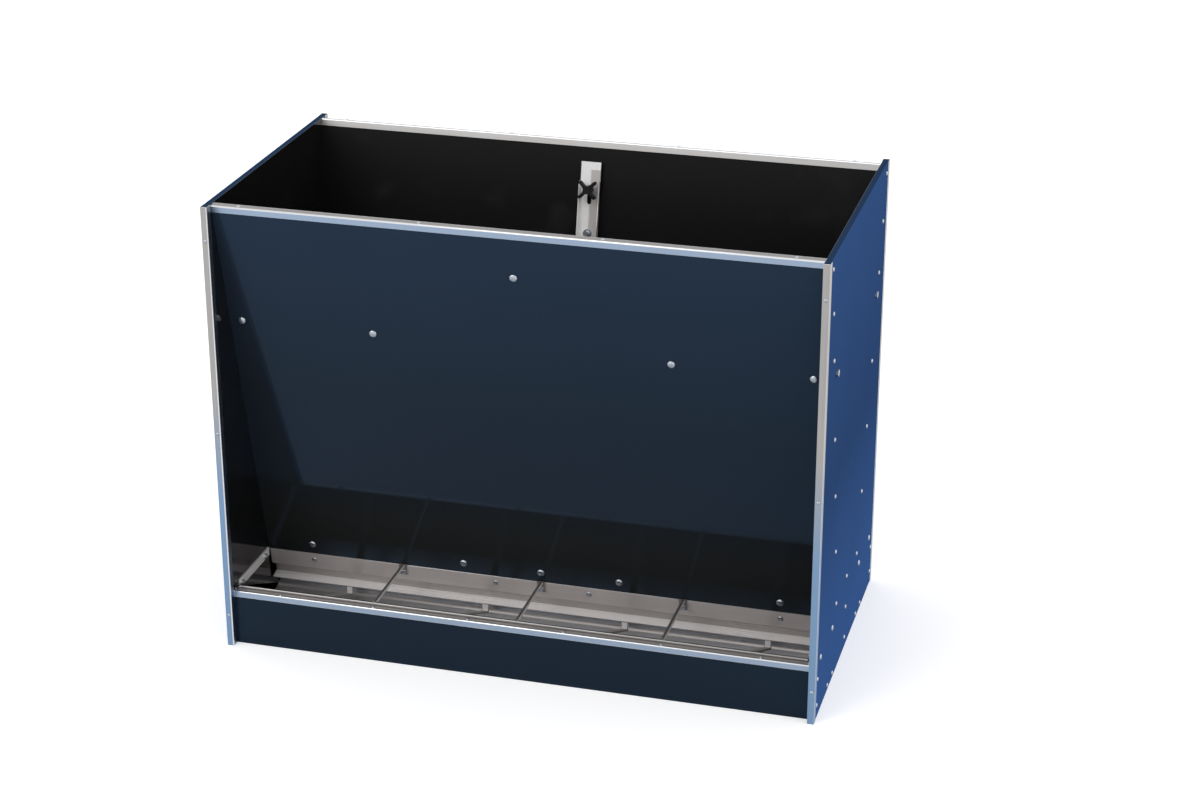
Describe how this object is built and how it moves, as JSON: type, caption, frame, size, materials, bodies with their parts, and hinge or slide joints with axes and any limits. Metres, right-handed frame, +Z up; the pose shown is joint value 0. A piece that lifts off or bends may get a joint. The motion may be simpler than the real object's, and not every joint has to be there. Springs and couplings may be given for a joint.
{
  "type": "pig feeder",
  "caption": "Double-sided dry feeder for pigs: sloped board hopper, steel trough with divider rods, sliding feed gate and clamp knob on each side.",
  "frame": {"origin": "centre of the footprint, on the floor", "axes": "+X along the trough, -Y towards the front side, +Z up"},
  "size_m": [1.2346, 0.652, 0.9505],
  "materials": {
    "film_board": "glossy film face",
    "stainless_steel": "rolled sheet",
    "zinc_fastener": "bright zinc",
    "knob_plastic": "moulded"
  },
  "bodies": {
    "root": {"left_side_panel": "film_board", "right_side_panel": "film_board", "front_panel": "film_board", "rear_panel": "film_board", "front_kick_plate": "film_board", "rear_kick_plate": "film_board", "front_floor_board": "film_board", "rear_floor_board": "film_board", "centre_board": "film_board", "front_left_edge_profile": "stainless_steel", "front_right_edge_profile": "stainless_steel", "rear_left_edge_profile": "stainless_steel", "rear_right_edge_profile": "stainless_steel", "front_top_profile": "stainless_steel", "rear_top_profile": "stainless_steel", "front_trough": "stainless_steel", "rear_trough": "stainless_steel", "front_foot_strip": "stainless_steel", "rear_foot_strip": "stainless_steel", "front_rim_rod": "stainless_steel", "rear_rim_rod": "stainless_steel", "front_divider_rods": "stainless_steel", "rear_divider_rods": "stainless_steel", "front_end_bars": "stainless_steel", "rear_end_bars": "stainless_steel", "front_gap_straps": "stainless_steel", "rear_gap_straps": "stainless_steel", "front_stiffener": "stainless_steel", "rear_stiffener": "stainless_steel", "front_clamp_stud": "zinc_fastener", "rear_clamp_stud": "zinc_fastener", "clamp_collar_nuts": "zinc_fastener", "guide_bolts": "zinc_fastener", "guide_bushes": "zinc_fastener", "guide_nuts": "zinc_fastener", "stiffener_bolts": "zinc_fastener", "stiffener_end_bolts": "zinc_fastener", "stiffener_nuts": "zinc_fastener", "side_panel_screws": "zinc_fastener", "end_bar_bolts": "zinc_fastener", "end_bar_nuts": "zinc_fastener", "edge_profile_screws": "zinc_fastener", "top_profile_screws": "zinc_fastener", "trough_lip_screws": "zinc_fastener", "foot_strip_screws": "zinc_fastener"},
    "front_gate": {"front_gate": "stainless_steel", "front_lift_bar": "stainless_steel", "front_adjusting_strip": "stainless_steel", "front_strip_bolts": "zinc_fastener", "front_gate_nuts": "zinc_fastener"},
    "front_clamp": {"front_clamp_washer": "zinc_fastener"},
    "front_knob": {"front_star_knob": "knob_plastic"},
    "rear_gate": {"rear_gate": "stainless_steel", "rear_lift_bar": "stainless_steel", "rear_adjusting_strip": "stainless_steel", "rear_strip_bolts": "zinc_fastener", "rear_gate_nuts": "zinc_fastener"},
    "rear_clamp": {"rear_clamp_washer": "zinc_fastener"},
    "rear_knob": {"rear_star_knob": "knob_plastic"}
  },
  "joints": [
    {"name": "front_gate_slide", "type": "slide", "parent": "root", "child": "front_gate", "axis": [0, -0.2233, 0.9748], "range_m": [0, 0.025]},
    {"name": "front_clamp_lift", "type": "slide", "parent": "root", "child": "front_clamp", "axis": [0, 0.9748, 0.2233], "range_m": [0, 0.002]},
    {"name": "front_knob_turn", "type": "hinge", "parent": "front_clamp", "child": "front_knob", "pos_m": [0, -0.26798, 0.8512], "axis": [0, 0.9748, 0.2233], "range_deg": [0, 720]},
    {"name": "rear_gate_slide", "type": "slide", "parent": "root", "child": "rear_gate", "axis": [0, 0.2233, 0.9748], "range_m": [0, 0.025]},
    {"name": "rear_clamp_lift", "type": "slide", "parent": "root", "child": "rear_clamp", "axis": [0, -0.9748, 0.2233], "range_m": [0, 0.002]},
    {"name": "rear_knob_turn", "type": "hinge", "parent": "rear_clamp", "child": "rear_knob", "pos_m": [0, 0.26798, 0.8512], "axis": [0, -0.9748, 0.2233], "range_deg": [0, 720]}
  ],
  "couplings": [
    {"joint": "front_knob_turn", "follows": "front_clamp_lift", "rad_per_m": 6283.2},
    {"joint": "rear_knob_turn", "follows": "rear_clamp_lift", "rad_per_m": 6283.2}
  ]
}
